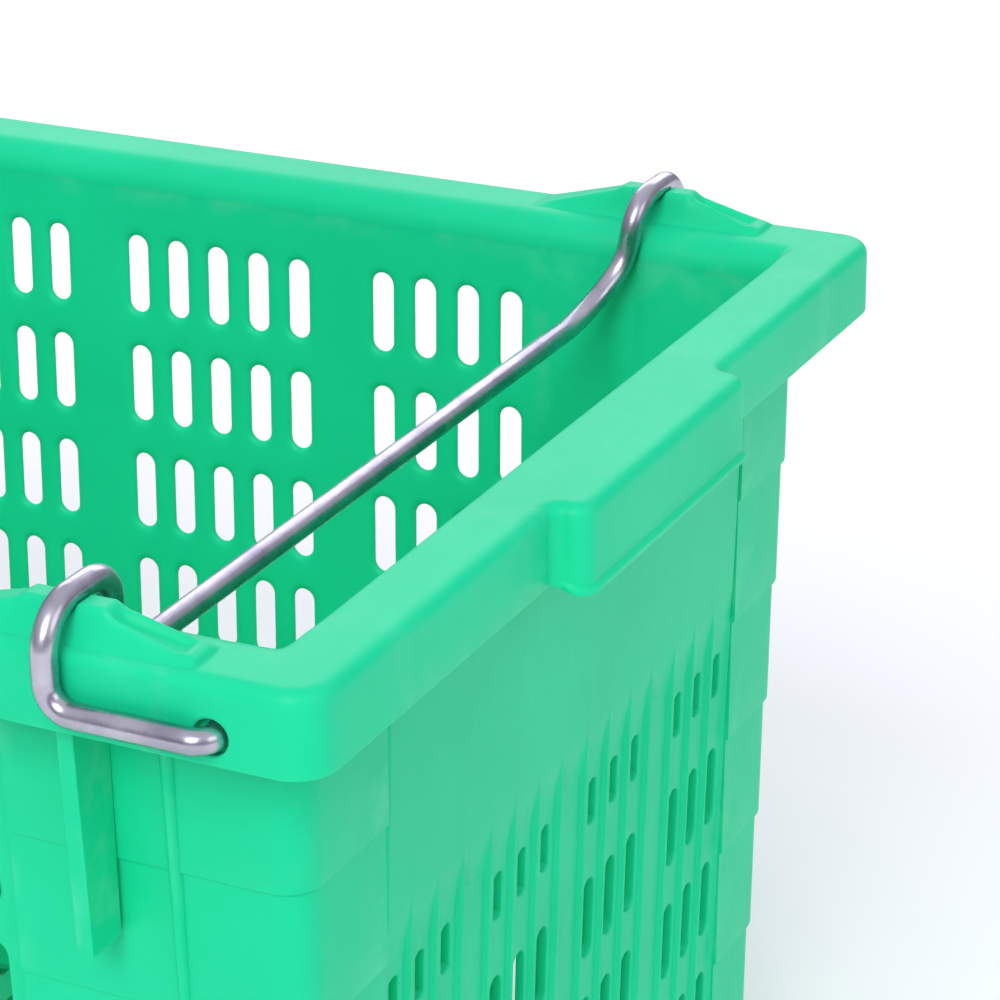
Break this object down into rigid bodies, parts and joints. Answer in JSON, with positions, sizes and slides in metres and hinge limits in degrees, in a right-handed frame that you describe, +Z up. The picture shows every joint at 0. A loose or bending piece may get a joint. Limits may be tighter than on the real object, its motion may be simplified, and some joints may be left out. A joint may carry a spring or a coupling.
{
  "type": "shopping basket",
  "caption": "Stack-and-nest shopping basket crate with slotted tapered walls, a hollow rim with end hand grips, and wire bail arms that fold over the opening.",
  "frame": {"origin": "middle of the flat rest face under the base grid", "axes": "+X along the longer side towards the right hand grip, +Y across towards the back wall, +Z up"},
  "size_m": [0.6234, 0.416, 0.365],
  "materials": {
    "crate_plastic": "satin moulded polyethylene, evenly coloured",
    "arm_wire": "bright zinc-plated steel wire, lightly rubbed"
  },
  "bodies": {
    "crate": {"base_grid": "crate_plastic", "wall_front": "crate_plastic", "wall_back": "crate_plastic", "wall_right": "crate_plastic", "wall_left": "crate_plastic", "corner_post_right_front": "crate_plastic", "corner_post_right_back": "crate_plastic", "corner_post_left_front": "crate_plastic", "corner_post_left_back": "crate_plastic", "post_rib_right_front": "crate_plastic", "post_rib_right_back": "crate_plastic", "post_rib_left_front": "crate_plastic", "post_rib_left_back": "crate_plastic", "bail_fin_right_front": "crate_plastic", "bail_fin_right_back": "crate_plastic", "bail_fin_left_front": "crate_plastic", "bail_fin_left_back": "crate_plastic", "rim_corner_right_front": "crate_plastic", "rim_corner_right_back": "crate_plastic", "rim_corner_left_front": "crate_plastic", "rim_corner_left_back": "crate_plastic", "rim_rail_right_front": "crate_plastic", "rim_rail_right_back": "crate_plastic", "rim_rail_left_front": "crate_plastic", "rim_rail_left_back": "crate_plastic", "bail_saddle_right_front": "crate_plastic", "bail_saddle_right_back": "crate_plastic", "bail_saddle_left_front": "crate_plastic", "bail_saddle_left_back": "crate_plastic", "pivot_boss_right_front": "crate_plastic", "pivot_boss_right_back": "crate_plastic", "pivot_boss_left_front": "crate_plastic", "pivot_boss_left_back": "crate_plastic", "rim_rail_front": "crate_plastic", "rim_rail_back": "crate_plastic", "hand_grip_right": "crate_plastic", "hand_grip_left": "crate_plastic"},
    "arm_right": {"bail_arm_right": "arm_wire"},
    "arm_left": {"bail_arm_left": "arm_wire"}
  },
  "joints": [
    {"name": "arm_right_pivot", "type": "hinge", "parent": "crate", "child": "arm_right", "pos_m": [0.27, 0, 0.3335], "axis": [0, 1, 0], "range_deg": [0, 225]},
    {"name": "arm_left_pivot", "type": "hinge", "parent": "crate", "child": "arm_left", "pos_m": [-0.27, 0, 0.3335], "axis": [0, -1, 0], "range_deg": [0, 225]}
  ]
}
